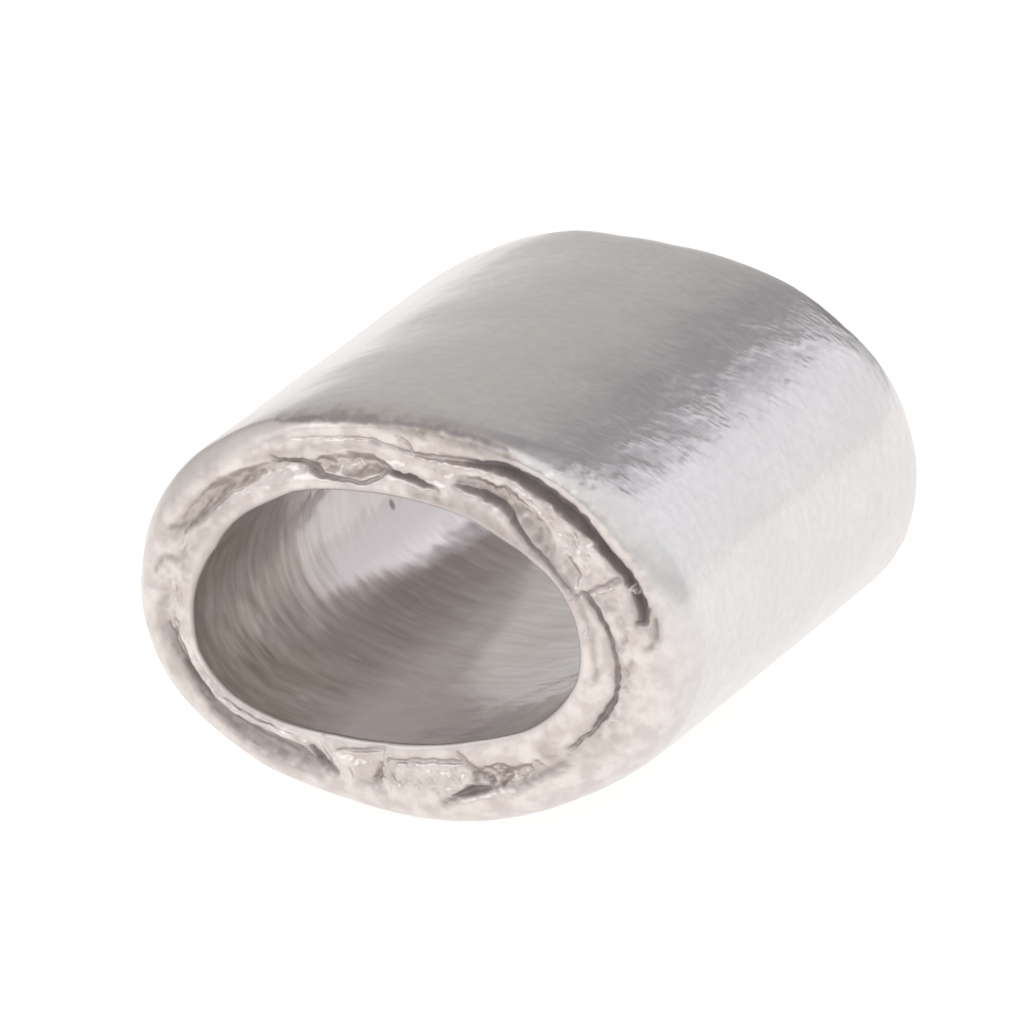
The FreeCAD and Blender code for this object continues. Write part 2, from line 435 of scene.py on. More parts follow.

# %% [markdown]
# ## The torn end
# Each tear is a line of stations on the end face: an angle round the bore, a share of the wall
# from the bore outwards, and the tear's width and depth there in millimetres. A crack sinks
# steeply, a trough is bowl-shaped, a ridge stands proud, and a worn patch is only rough. Dirt
# and soot have no depth: dirt browns the metal, and the soot kind is painted shade that blackens
# it. The dirt tears named shade are painted shade too, and the darkening of cracks and troughs is
# partly oxide and dirt and partly painted shade. The number after the kind says how dark it makes
# the metal. Sculpting would work too, but stations can be checked against a picture one by one.

# %% List the tears of the upper half
TEARS = {
    "split's start": ("crack", 0.25, [
        (127, 0.76, 0.03, 0.02), (115, 0.7, 0.05, 0.03), (105, 0.66, 0.05, 0.04),
        (96, 0.6, 0.05, 0.04), (90, 0.53, 0.05, 0.05), (82, 0.51, 0.05, 0.06),
        (75, 0.52, 0.06, 0.1), (69, 0.55, 0.07, 0.16), (62, 0.61, 0.07, 0.2),
    ]),
    "outer split": ("crack", 1.0, [
        (67, 0.56, 0.03, 0.04), (63, 0.6, 0.08, 0.2), (57, 0.66, 0.12, 0.34),
        (48, 0.64, 0.13, 0.36), (40, 0.61, 0.13, 0.36), (32, 0.57, 0.12, 0.34),
        (25, 0.56, 0.09, 0.3), (18, 0.59, 0.1, 0.3), (12, 0.63, 0.09, 0.28),
        (7, 0.62, 0.08, 0.2), (6.5, 0.56, 0.05, 0.12),
    ]),
    # Painted shade in and around the deep outer split.
    "split's soot": ("soot", 0.35, [
        (100, 0.6, 0.06, 0), (84, 0.51, 0.07, 0), (74, 0.53, 0.09, 0), (62, 0.65, 0.2, 0),
        (50, 0.64, 0.24, 0), (35, 0.58, 0.22, 0), (20, 0.58, 0.2, 0), (8, 0.61, 0.16, 0),
    ]),
    "split's curl": ("crack", 0.7, [
        (10, 0.71, 0.03, 0.06), (6, 0.72, 0.035, 0.09), (3.5, 0.7, 0.035, 0.09),
        (1.5, 0.66, 0.035, 0.08), (1, 0.6, 0.03, 0.04),
    ]),
    "split's tongue": ("ridge", 0.0, [
        (16, 0.5, 0.07, 0.1), (14.5, 0.57, 0.08, 0.26), (13.5, 0.63, 0.06, 0.2),
    ]),
    "split's lip": ("ridge", 0.0, [
        (130, 0.8, 0.1, 0.03), (115, 0.78, 0.12, 0.04), (100, 0.72, 0.12, 0.05),
        (88, 0.64, 0.1, 0.06), (76, 0.65, 0.1, 0.05), (66, 0.7, 0.1, 0.03),
    ]),
    "lip's nick": ("crack", 0.3, [
        (90, 0.7, 0.03, 0.04), (87, 0.62, 0.03, 0.06), (85, 0.55, 0.02, 0.04),
    ]),
    # Painted shade: the dark line where the top rim turns into the outside.
    "rim's crease": ("soot", 0.9, [
        (128, 0.985, 0.04, 0), (118, 0.955, 0.09, 0), (108, 0.93, 0.1, 0), (98, 0.91, 0.09, 0),
        (88, 0.92, 0.09, 0), (76, 0.92, 0.1, 0), (68, 0.91, 0.1, 0), (60, 0.89, 0.05, 0),
    ]),
    # Partly grey-brown dirt, partly a painted dark reflection on the top rim's rounding.
    "rim's soot": ("dirt", 0.7, [
        (112, 0.96, 0.1, 0), (100, 0.91, 0.18, 0), (92, 0.86, 0.26, 0), (80, 0.84, 0.32, 0),
        (68, 0.83, 0.3, 0), (58, 0.84, 0.16, 0),
    ]),
    # Painted shade on the inner lip.
    "inner lip's shade": ("dirt", 0.5, [
        (80, 0.1, 0.14, 0), (66, 0.1, 0.18, 0), (52, 0.11, 0.2, 0), (40, 0.04, 0.12, 0),
        (28, 0.08, 0.1, 0), (18, 0.1, 0.1, 0), (2, 0.14, 0.12, 0), (-8, 0.18, 0.12, 0),
    ]),
    # Painted shade on the left lip.
    "left lip's shade": ("dirt", 0.28, [
        (172, 0.22, 0.2, 0), (160, 0.2, 0.16, 0), (150, 0.24, 0.1, 0),
    ]),
    # Painted shade on the upper land.
    "upper land's shade": ("dirt", 0.3, [
        (138, 0.62, 0.14, 0), (126, 0.58, 0.18, 0), (116, 0.56, 0.18, 0), (104, 0.56, 0.12, 0),
    ]),
    "pocket's rim": ("crack", 0.6, [
        (131.5, 0.6, 0.03, 0.04), (131, 0.52, 0.04, 0.07), (127, 0.47, 0.035, 0.07),
        (123, 0.43, 0.04, 0.07), (120.5, 0.32, 0.09, 0.12), (117, 0.22, 0.045, 0.08),
        (110, 0.15, 0.035, 0.07), (103, 0.13, 0.035, 0.07), (97, 0.16, 0.035, 0.07),
        (93, 0.28, 0.03, 0.06),
    ]),
    "pocket": ("trough", 0.3, [
        (120, 0.36, 0.2, 0.03), (113, 0.33, 0.34, 0.07), (104, 0.32, 0.36, 0.11),
        (96, 0.33, 0.22, 0.09), (92, 0.31, 0.12, 0.04),
    ]),
    "pocket's lumps": ("worn", 0.2, [
        (117, 0.38, 0.16, 0.02), (109, 0.32, 0.26, 0.02), (99, 0.34, 0.2, 0.02),
    ]),
    "pocket's soot": ("dirt", 0.6, [
        (132, 0.52, 0.08, 0), (126, 0.46, 0.12, 0), (121, 0.32, 0.18, 0), (115, 0.2, 0.1, 0),
        (106, 0.17, 0.1, 0), (99, 0.3, 0.22, 0), (95, 0.28, 0.14, 0),
    ]),
    "first inner crack": ("crack", 0.85, [
        (95, 0.29, 0.03, 0.06), (87, 0.27, 0.05, 0.14), (81, 0.24, 0.045, 0.13),
        (75, 0.21, 0.035, 0.1), (71, 0.19, 0.03, 0.03),
    ]),
    "second inner crack": ("crack", 0.95, [
        (66, 0.3, 0.03, 0.05), (62, 0.3, 0.04, 0.12), (56, 0.3, 0.045, 0.16),
        (49, 0.285, 0.045, 0.16), (43, 0.2, 0.04, 0.14), (37, 0.13, 0.035, 0.12),
        (30, 0.09, 0.035, 0.1), (24, 0.09, 0.03, 0.07), (17, 0.08, 0.03, 0.05),
    ]),
    "brown trough": ("trough", 0.6, [
        (67, 0.38, 0.1, 0.02), (60, 0.38, 0.22, 0.05), (50, 0.36, 0.26, 0.05),
        (44, 0.31, 0.26, 0.05), (37, 0.25, 0.26, 0.05), (30, 0.18, 0.18, 0.03),
    ]),
    "brown soot": ("dirt", 0.7, [
        (66, 0.34, 0.08, 0), (57, 0.35, 0.12, 0), (48, 0.32, 0.16, 0), (40, 0.27, 0.22, 0),
        (30, 0.15, 0.14, 0), (22, 0.11, 0.12, 0), (16, 0.1, 0.12, 0),
    ]),
    "slanted ridge": ("ridge", 0.0, [
        (46, 0.45, 0.08, 0.03), (38, 0.42, 0.1, 0.04), (31, 0.4, 0.07, 0.04),
        (28, 0.32, 0.06, 0.05), (25, 0.2, 0.06, 0.02),
    ]),
    "ridge's groove": ("crack", 0.35, [
        (29, 0.38, 0.03, 0.04), (26, 0.28, 0.035, 0.05), (24.5, 0.16, 0.03, 0.03),
    ]),
    "small hollow": ("trough", 0.35, [
        (27, 0.24, 0.08, 0.03), (22, 0.2, 0.14, 0.05), (18, 0.16, 0.08, 0.03),
    ]),
    "radial crack": ("crack", 0.45, [
        (17, 0.52, 0.07, 0.1), (16.5, 0.42, 0.05, 0.08), (15.5, 0.25, 0.035, 0.08),
        (15, 0.12, 0.035, 0.08), (14, 0.05, 0.03, 0.03),
    ]),
    "third inner crack": ("crack", 0.75, [
        (15.5, 0.18, 0.05, 0.08), (11, 0.23, 0.04, 0.11), (4, 0.28, 0.04, 0.1),
        (-3, 0.33, 0.035, 0.07), (-8, 0.38, 0.04, 0.08), (-13, 0.4, 0.05, 0.1),
        (-18, 0.38, 0.045, 0.08), (-25, 0.37, 0.04, 0.06), (-31, 0.37, 0.03, 0.03),
    ]),
    "third crack's soot": ("dirt", 0.5, [
        (15, 0.2, 0.12, 0), (4, 0.3, 0.08, 0), (-8, 0.4, 0.14, 0), (-20, 0.38, 0.16, 0),
        (-30, 0.38, 0.14, 0),
    ]),
    "hatched land": ("worn", 0.5, [
        (12, 0.35, 0.15, 0.03), (0, 0.42, 0.2, 0.03), (-12, 0.46, 0.24, 0.04),
        (-28, 0.44, 0.25, 0.04),
    ]),
    "torn land": ("worn", 0.15, [
        (60, 0.45, 0.12, 0.03), (40, 0.45, 0.16, 0.05), (22, 0.42, 0.3, 0.05),
    ]),
    "small pits": ("crack", 0.3, [(6, 0.1, 0.05, 0.04), (5, 0.09, 0.05, 0.04)]),
    "upper trough": ("trough", 0.5, [
        (166, 0.5, 0.16, 0.02), (160, 0.44, 0.3, 0.06), (150, 0.44, 0.3, 0.06),
        (141, 0.45, 0.22, 0.05), (133, 0.47, 0.14, 0.02),
    ]),
    "upper trough's soot": ("dirt", 0.75, [
        (165, 0.58, 0.1, 0), (163, 0.44, 0.16, 0), (159, 0.36, 0.2, 0), (150, 0.4, 0.2, 0),
        (143, 0.42, 0.16, 0), (136, 0.44, 0.08, 0),
    ]),
    "upper trough's rim": ("crack", 0.3, [
        (165, 0.56, 0.05, 0.05), (163, 0.44, 0.07, 0.07), (159, 0.35, 0.05, 0.05),
        (152, 0.31, 0.035, 0.04), (144, 0.34, 0.03, 0.03),
    ]),
    "left streaks": ("worn", 0.2, [
        (188, 0.35, 0.3, 0.03), (175, 0.4, 0.5, 0.04), (165, 0.55, 0.3, 0.03),
    ]),
    "left soot": ("dirt", 0.5, [
        (176, 0.64, 0.1, 0), (172, 0.58, 0.12, 0), (172, 0.35, 0.12, 0), (169, 0.28, 0.14, 0),
    ]),
    "pocket's ridge": ("ridge", 0.0, [
        (114, 0.54, 0.1, 0.02), (104, 0.53, 0.08, 0.05), (96, 0.5, 0.08, 0.06),
        (88, 0.41, 0.1, 0.05), (76, 0.37, 0.12, 0.03),
    ]),
}
print("tears of the upper half:", len(TEARS))

# %% List the tears of the lower half
TEARS |= {
    "right haze": ("dirt", 0.3, [
        (-22, 0.6, 0.16, 0), (-30, 0.6, 0.24, 0), (-38, 0.3, 0.16, 0), (-30, 0.15, 0.16, 0),
    ]),
    "left haze": ("dirt", 0.35, [
        (-160, 0.62, 0.16, 0), (-168, 0.62, 0.2, 0), (-178, 0.5, 0.14, 0),
    ]),
    "worn patch": ("worn", 0.45, [
        (-33, 0.45, 0.15, 0.03), (-44, 0.44, 0.26, 0.05), (-52, 0.43, 0.34, 0.05),
        (-60, 0.42, 0.26, 0.04),
    ]),
    "worn hollow": ("trough", 0.4, [
        (-42, 0.44, 0.2, 0.03), (-52, 0.42, 0.34, 0.07), (-60, 0.4, 0.3, 0.07),
    ]),
    "worn patch's soot": ("dirt", 0.7, [
        (-35, 0.5, 0.12, 0), (-38, 0.49, 0.14, 0), (-44, 0.52, 0.12, 0), (-50, 0.55, 0.14, 0),
        (-56, 0.5, 0.14, 0), (-64, 0.52, 0.16, 0), (-70, 0.56, 0.1, 0),
    ]),
    "worn patch's rim": ("crack", 0.35, [
        (-36, 0.5, 0.06, 0.05), (-39, 0.47, 0.06, 0.05), (-45, 0.54, 0.04, 0.05),
        (-51, 0.57, 0.05, 0.06), (-56, 0.55, 0.04, 0.05),
    ]),
    "lower radial crack": ("crack", 0.5, [
        (-58.5, 0.56, 0.05, 0.07), (-59, 0.35, 0.055, 0.08), (-60, 0.2, 0.045, 0.07),
        (-60.5, 0.08, 0.03, 0.04),
    ]),
    "dark wedge": ("crack", 0.75, [
        (-60, 0.52, 0.06, 0.1), (-65, 0.53, 0.09, 0.16), (-69, 0.56, 0.05, 0.12),
        (-76, 0.65, 0.03, 0.05),
    ]),
    "plate's lower line": ("crack", 0.4, [
        (-60, 0.19, 0.045, 0.06), (-70, 0.16, 0.04, 0.06), (-80, 0.16, 0.035, 0.05),
        (-91, 0.16, 0.03, 0.04),
    ]),
    "middle gap": ("crack", 0.5, [
        (-104, 0.51, 0.03, 0.03), (-99, 0.52, 0.045, 0.06), (-98, 0.46, 0.06, 0.1),
        (-96, 0.34, 0.045, 0.08), (-94.5, 0.22, 0.035, 0.05),
    ]),
    "gap's upper end": ("crack", 0.35, [(-95, 0.59, 0.03, 0.05), (-98, 0.51, 0.05, 0.07)]),
    "second plate's lower line": ("crack", 0.45, [
        (-93, 0.07, 0.04, 0.05), (-102, 0.1, 0.045, 0.06), (-108, 0.13, 0.045, 0.05),
        (-112, 0.17, 0.03, 0.03),
    ]),
    "left gap": ("crack", 0.75, [
        (-112.5, 0.5, 0.06, 0.09), (-116, 0.42, 0.08, 0.18), (-119.5, 0.33, 0.085, 0.18),
        (-121, 0.26, 0.05, 0.1),
    ]),
    "lower trough's rim": ("crack", 0.5, [
        (-116, 0.62, 0.03, 0.04), (-121, 0.59, 0.035, 0.07), (-126, 0.62, 0.035, 0.07),
        (-130, 0.66, 0.04, 0.08), (-135, 0.61, 0.035, 0.07), (-141, 0.65, 0.04, 0.08),
        (-147, 0.57, 0.04, 0.08), (-153, 0.5, 0.04, 0.08), (-160, 0.47, 0.04, 0.08),
        (-166, 0.51, 0.045, 0.08), (-172, 0.51, 0.06, 0.08),
    ]),
    # Painted shade on the lower trough's floor, under its overhang.
    "lower trough's floor": ("soot", 0.5, [
        (-118, 0.46, 0.2, 0), (-124, 0.46, 0.28, 0), (-132, 0.5, 0.28, 0), (-140, 0.52, 0.24, 0),
        (-148, 0.49, 0.14, 0), (-158, 0.45, 0.08, 0),
    ]),
    # Painted shade on the lower plates.
    "plates' shade": ("dirt", 0.2, [(-66, 0.36, 0.2, 0), (-78, 0.38, 0.3, 0), (-90, 0.38, 0.2, 0)]),
    "lower trough's soot": ("dirt", 0.7, [
        (-114, 0.5, 0.1, 0), (-119, 0.36, 0.14, 0), (-124, 0.54, 0.16, 0), (-130, 0.6, 0.16, 0),
        (-136, 0.56, 0.14, 0), (-142, 0.6, 0.18, 0), (-150, 0.5, 0.14, 0), (-160, 0.47, 0.1, 0),
        (-172, 0.5, 0.08, 0),
    ]),
    "lower trough": ("trough", 0.3, [
        (-117, 0.5, 0.14, 0.02), (-122, 0.46, 0.28, 0.07), (-131, 0.5, 0.32, 0.11),
        (-142, 0.52, 0.26, 0.11), (-150, 0.46, 0.18, 0.08), (-160, 0.43, 0.12, 0.05),
        (-170, 0.46, 0.12, 0.03),
    ]),
    "trough's columns": ("ridge", 0.0, [(-132.5, 0.62, 0.05, 0.02), (-133, 0.42, 0.06, 0.02)]),
    "lower plate": ("ridge", 0.0, [
        (-66, 0.38, 0.3, 0.02), (-77, 0.42, 0.46, 0.04), (-89, 0.4, 0.36, 0.04),
    ]),
    "plate's grain": ("worn", 0.1, [
        (-66, 0.36, 0.2, 0.03), (-80, 0.4, 0.4, 0.03), (-104, 0.35, 0.3, 0.03),
    ]),
    "plate's edge": ("ridge", 0.0, [
        (-92, 0.48, 0.06, 0.03), (-92.5, 0.3, 0.06, 0.04), (-92, 0.12, 0.05, 0.03),
    ]),
    "second plate": ("ridge", 0.0, [
        (-100, 0.33, 0.22, 0.03), (-107, 0.35, 0.25, 0.05), (-112, 0.27, 0.12, 0.03),
    ]),
    "second plate's edge": ("ridge", 0.0, [
        (-109, 0.56, 0.06, 0.03), (-111, 0.42, 0.07, 0.04), (-115, 0.24, 0.08, 0.04),
        (-119, 0.08, 0.08, 0.02),
    ]),
    "inner ridge": ("ridge", 0.0, [
        (-124, 0.24, 0.12, 0.03), (-132, 0.21, 0.15, 0.04), (-142, 0.28, 0.15, 0.05),
        (-152, 0.32, 0.14, 0.05), (-165, 0.32, 0.18, 0.03), (-175, 0.3, 0.2, 0.01),
    ]),
}
print("tears:", len(TEARS))

# %% [markdown]
# To cut the tears, every point of the end face looks for the nearest place on each line. Its
# distance from the line, as a share of the tear's half width, gives how deep it sinks. The same
# distance also gives two attributes: `recess`, which blackens the cracks, partly as oxide and partly
# as painted shade, and paints the soot kind's shade; and a brown one for the dirt, the metal beside
# a crack and the floor of a trough, which is partly dirt and partly painted shade. A ridge lifts out
# of the blackening, so it is clean. The lines are pushed about by a little grain first,
# because no tear is smooth.


# %% Find how near a point is to a tear
def on_face(degrees, share):
    """A place on the end face, in millimetres across and up from the sleeve's middle."""
    turn = np.radians(degrees)
    cosine, sine = np.cos(turn), np.sin(turn)
    inner = oval_ray(cosine, sine, BORE_WIDTH / 2, BORE_HEIGHT / 2, BORE_CROWN)
    outer = oval_ray(cosine, sine, HALF_WIDTH, HALF_HEIGHT, OUTER_CROWN)
    bore_x, bore_z = inner * cosine - BORE_SHIFT, inner * sine - BORE_DROP
    x = bore_x + share * (outer * cosine - bore_x)
    z = bore_z + share * (outer * sine - bore_z)
    return np.stack([x, z], axis=-1)


def rounded_line(stations):
    """Places close together along a line of stations, with its corners rounded."""
    stations = np.array(stations, float)
    fine = 10
    at = np.linspace(0, len(stations) - 1, fine * (len(stations) - 1) + 1)
    columns = [np.interp(at, np.arange(len(stations)), column) for column in stations.T]
    kernel = np.ones(fine - 1) / (fine - 1)
    margin = fine // 2 - 1
    rounded = []
    for column in columns:
        before = 2 * column[0] - column[margin:0:-1]
        after = 2 * column[-1] - column[-2 : -2 - margin : -1]
        rounded.append(np.convolve(np.concatenate([before, column, after]), kernel, "valid"))
    return rounded


def near_line(places, stations):
    """For each place: its distance from a line of stations, and the width and depth there."""
    angle, share, width, depth = rounded_line(stations)
    line = on_face(angle, share)
    best = np.full(len(places), np.inf)
    width_there = np.zeros(len(places))
    depth_there = np.zeros(len(places))
    for i in range(len(line) - 1):
        run = line[i + 1] - line[i]
        reach = np.clip((places - line[i]) @ run / (run @ run), 0, 1)
        away = np.hypot(*(places - line[i] - reach[:, None] * run).T)
        closer = away < best
        best = np.where(closer, away, best)
        width_there = np.where(closer, width[i] + reach * (width[i + 1] - width[i]), width_there)
        depth_there = np.where(closer, depth[i] + reach * (depth[i + 1] - depth[i]), depth_there)
    return best, np.maximum(width_there, 0.01), np.maximum(depth_there, 0)


print("a line's places:", len(rounded_line(TEARS["outer split"][2])[0]))

# %% Cut the tears
LINE_GRAIN, LINE_WANDER = 0.11, 0.03
CRACK_SINK, TROUGH_SINK = 0.6, 1.2
DARK_FROM_DEPTH = 0.10
face = (grid["near"] == 1) & (grid["y_half"] == -1)
degrees = np.degrees(grid["turn"])
facing = np.minimum(1 - grid["y_mouth"], 1 - grid["y_edge"])[face]
flat = points[face][:, [0, 2]] - [0, HALF_HEIGHT]
bore_here = on_face(degrees[face], 0.0)
wall_here = np.linalg.norm(on_face(degrees[face], 1.0) - bore_here, axis=1)
share_here = np.linalg.norm(flat - bore_here, axis=1) / wall_here
grit = points[face] + [0, 0.5, 0]
pushes = [grain(grit + [3, 0, 0], LINE_GRAIN, 3), grain(grit + [0, 0, 5], LINE_GRAIN, 3)]
ragged = flat + LINE_WANDER * np.stack(pushes, axis=1)
speckle, lumps = grain(grit, 0.07, 2), grain(grit, 0.16, 2)
sunk = np.zeros(len(flat))
recess = np.zeros(len(flat))
stain = np.zeros(len(flat))
for name, (kind, dirt, stations) in TEARS.items():
    away, width, depth = near_line(ragged, stations)
    aside = away / (width / 2)
    bowl = np.clip(1 - aside**2, 0, 1)
    if kind == "crack":
        sunk = np.maximum(sunk, CRACK_SINK * depth / (1 + aside**4))
        # Deeper cracks are blacker: partly oxide, partly painted shade.
        strength = dirt * np.clip(depth / DARK_FROM_DEPTH, 0.35, 1) * (1 + 0.35 * lumps)
        recess = np.maximum(recess, strength / (1 + (aside / 0.88) ** 3.2))
        # The brown beside a crack is partly dirt, partly painted shade.
        stain = np.maximum(stain, 0.6 * dirt * np.exp(-((away / (0.04 + 0.5 * width)) ** 2)))
    elif kind == "trough":
        sunk = sunk + TROUGH_SINK * depth * bowl**2
        # The brown on a trough's floor is partly dirt, partly painted shade under its overhang.
        stain = np.maximum(stain, dirt * bowl)
    elif kind == "soot":
        # The soot kind is painted shade.
        recess = np.maximum(recess, dirt * np.exp(-1.5 * aside**2) * (1 + 0.5 * speckle))
    elif kind == "dirt":
        # Dirt browns the metal; in the tears named shade it is painted shade.
        stain = np.maximum(stain, dirt * np.exp(-1.5 * aside**2) * (1.1 + 0.6 * speckle))
    elif kind == "worn":
        sunk = sunk + depth * speckle * bowl**0.5
        stain = np.maximum(stain, dirt * bowl * np.clip(0.6 + speckle, 0, 1.3))
    else:
        sunk = sunk - depth * bowl**1.5
        recess = recess * (1 - np.clip(10 * depth * bowl - 0.6, 0, 1))
print("deepest tear, mm:", round(sunk.max(), 3))

# %% [markdown]
# Between the tears the face is not a plane. The lip at the bore was pulled smooth by the punch
# and stands a little proud, and the rest broke off in crumbs and flakes and is slightly dished.
# Only the floor of the lower trough is smoother.

# %% Roughen the face
SMOOTH_TROUGH = [(-180, 0), (-158, 0), (-150, 1), (-120, 1), (-112, 0), (180, 0)]
FLAKE, FLAKE_HEIGHT = 0.2, 0.045
CRUMB, CRUMB_HEIGHT = 0.1, 0.008
WAVE, WAVE_HEIGHT = 0.5, 0.012
DISH_DEPTH, DISH_AT, DISH_REACH = 0.05, 0.42, 0.3
LIP, RIM_EDGE = 0.12, 0.85
broken = np.clip((share_here - LIP) / 0.15, 0, 1) * np.clip((RIM_EDGE - share_here) / 0.2, 0, 1)
broken = (1 - 0.7 * along(SMOOTH_TROUGH, degrees[face])) * broken
flakes = FLAKE_HEIGHT * (np.abs(grain(grit, FLAKE, 3)) - 0.25)
crumbs = CRUMB_HEIGHT * grain(grit, CRUMB, 3)
rough = (crumbs + flakes) * broken + WAVE_HEIGHT * grain(grit, WAVE)
dish = DISH_DEPTH * broken * np.clip(1 - np.abs(share_here - DISH_AT) / DISH_REACH, 0, 1)
sunk = sunk + rough + dish
points[face, 1] += sunk * facing
print("face roughness, mm:", round(float(np.std(rough)), 4))

# %% [markdown]
# The shear also pushed the opening out of shape and rolled the rim over. Each is a short list of
# angles with the millimetres by which the metal there stands outwards or inwards. The change is
# full at the torn face and fades along the sleeve.

# %% Push the opening and the rim out of shape
OPENING = [(-180, 0.05), (-165, 0.14), (-150, 0.14), (-134, 0.09), (-115, -0.01), (-92, -0.05)]
OPENING += [(-50, -0.07), (-23, -0.03), (-10, 0.01), (7, -0.04), (28, -0.13), (38, -0.1)]
OPENING += [(56, -0.02), (79, 0.0), (103, 0.03), (129, 0.1), (145, 0.02), (164, -0.04), (180, 0.05)]
RIM = [(-180, 0.0), (45, 0.0), (60, -0.04), (75, -0.08), (100, -0.09), (118, -0.06), (135, 0.0)]
RIM += [(180, 0.0)]
REACH = 0.4
OPENING_FADE, RIM_FADE = 0.9, 0.6
behind = np.maximum(points[:, 1] + LENGTH / 2, 0)
outward = points * [1, 0, 1] - [0, 0, HALF_HEIGHT]
outward = outward / np.linalg.norm(outward, axis=1)[:, None]
share_all = np.where(grid["share"] > 0, 1.0, 0.0)
share_all[face] = share_here
inner = np.clip(1 - share_all / REACH, 0, 1) ** 2 * np.exp(-behind / OPENING_FADE)
outer = np.clip((share_all - 1 + REACH) / REACH, 0, 1) * np.exp(-behind / RIM_FADE)
shove = along(OPENING, degrees) * inner + along(RIM, degrees) * outer
points += outward * shove[:, None]
print("opening out of shape by, mm:", round(float(np.ptp(shove)), 3))

# %% [markdown]
# ## The tumbled outside
# Tumbling leaves soft hollows and flats in the outside, takes a little off it all round, and has
# tapered the far end on the upper right. Grain at two sizes makes the hollows. They are far too
# shallow to sculpt by eye.

# %% Undulate the outside
SWELL, SWELL_HEIGHT = 0.9, 0.014
SMALL_SWELL, SMALL_SWELL_HEIGHT = 0.25, 0.003
WORN_OFF = 0.008
TAPER_FROM, TAPER_RATE = 2.4, 0.1
TAPER = [(-180, 0.0), (-15, 0.0), (0, 0.5), (10, 1.0), (33, 1.0), (40, 0.5), (48, 0.0), (180, 0.0)]
outside = np.where((grid["share"] == 1) & (grid["edge"] < 0.9), 1 - grid["edge"], 0)
swell = SWELL_HEIGHT * grain(points, SWELL, 2) + SMALL_SWELL_HEIGHT * grain(points, SMALL_SWELL)
taper = TAPER_RATE * np.maximum(points[:, 1] - TAPER_FROM, 0) ** 2 * along(TAPER, degrees)
points += outward * ((swell - WORN_OFF - taper) * outside)[:, None]
sleeve_mesh.vertices.foreach_set("co", (points * MM).ravel())
print("outside undulation, mm:", round(float(np.ptp(swell)), 3))

# %% [markdown]
# ## Where the finish and the painted light change
# The outside is hammered most on the upper right, and painted shade darkens it behind the torn rim
# on the upper left. The torn face is as smooth as the outside near its rim on the right. In the bore,
# a brown film, partly dirt and partly painted shade, covers the wall from the mouth to an uneven end,
# and behind it the bare wall is lighter in places: a painted reflection of the light that comes in
# through the far end. Each of these is a short list of angles with a value there, stored on the
# points as an attribute for the material to read: that is easier to place than shader maths.

# %% Paint the points
# The film is partly brown dirt and partly painted shade of the bore's near part; it ends where the
# painted reflection begins.
FILM_ENDS = [(-180, -0.8), (-165, -0.7), (-158, -0.6), (-154, 0.2), (-150, 0.9), (-146, 1.5)]
FILM_ENDS += [(-143, 2.1), (-139, 3.6), (-130, 3.6), (-113, 1.6), (-96, -1.0), (-84, -1.5)]
FILM_ENDS += [(-60, -2.0), (0, -2.0), (60, 0.5), (80, 1.0), (100, -0.4), (130, -1.0), (180, -0.8)]
FILM = [(-180, 0.9), (-140, 0.9), (-130, 0.85), (-121, 0.6), (-113, 0.4), (-96, 0.5), (-60, 0.5)]
FILM += [(0, 0.4), (60, 0.6), (100, 1.0), (180, 0.9)]
# Painted reflection: how much lighter the bore's bare wall is where it mirrors the light from the far
# end.
WALL_REFLECTION = [(-180, 0.05), (-166, 0.1), (-158, 0.2), (-153, 0.4), (-149, 0.7), (-145, 0.85)]
WALL_REFLECTION += [(-140, 0.8), (-128, 0.5), (-115, 0.4), (-95, 0.55), (-80, 0.4), (-40, 0.3), (180, 0.05)]
HAMMERED = [(-180, 0.2), (10, 0.2), (24, 0.5), (32, 0.7), (42, 0.65), (52, 0.25), (65, 0.0)]
HAMMERED += [(180, 0.0)]
# Painted shade on the outside behind the torn rim, upper left, fading along the sleeve.
SHADED_BEHIND_RIM = [(-180, 0.0), (85, 0.0), (110, 0.5), (125, 1.0), (155, 1.0), (175, 0.0), (180, 0.0)]
RIM_SHADE_LENGTH, RIM_SHADE_DARKNESS = 1.3, 0.45
SMOOTH_RIM = [(-180, 0), (-15, 0), (5, 0.8), (55, 0.8), (75, 0), (180, 0)]


def paint_points(word, values):
    """Stores one number for each point of the sleeve, for its material to read."""
    column = np.ascontiguousarray(values, np.float32)
    sleeve_mesh.attributes.new(word, "FLOAT", "POINT").data.foreach_set("value", column)


def on_whole(values):
    """The face's values, with nought on every other point."""
    whole = np.zeros(len(points))
    whole[face] = values
    return whole


# Painted shade behind the torn rim on the upper left.
rim_shade = RIM_SHADE_DARKNESS * np.exp(-((behind / RIM_SHADE_LENGTH) ** 2)) * outside * along(SHADED_BEHIND_RIM, degrees)
rim_smoothness = along(SMOOTH_RIM, degrees[face]) * np.clip((share_here - 0.68) / 0.2, 0, 1)
# The blackening of cracks is partly oxide and partly painted shade; the brown is dirt, painted shade on
# the torn face and painted shade behind the upper left rim.
paint_points("recess", on_whole(recess))
paint_points("stain", on_whole(stain) + rim_shade)
paint_points("torn", on_whole(facing * (1 - rim_smoothness)))
paint_points("in_bore", np.where(grid["share"] == 0, 1 - grid["mouth"], 0))
paint_points("past_film", points[:, 1] - along(FILM_ENDS, degrees))
# The film: partly dirt, partly painted shade.
paint_points("film", along(FILM, degrees))
# Painted reflection on the bore's bare wall.
paint_points("polish", along(WALL_REFLECTION, degrees))
paint_points("hammered", along(HAMMERED, degrees))
sleeve_mesh.update()
print("points with stain:", int(np.sum(on_whole(stain) + rim_shade > 0.1)))

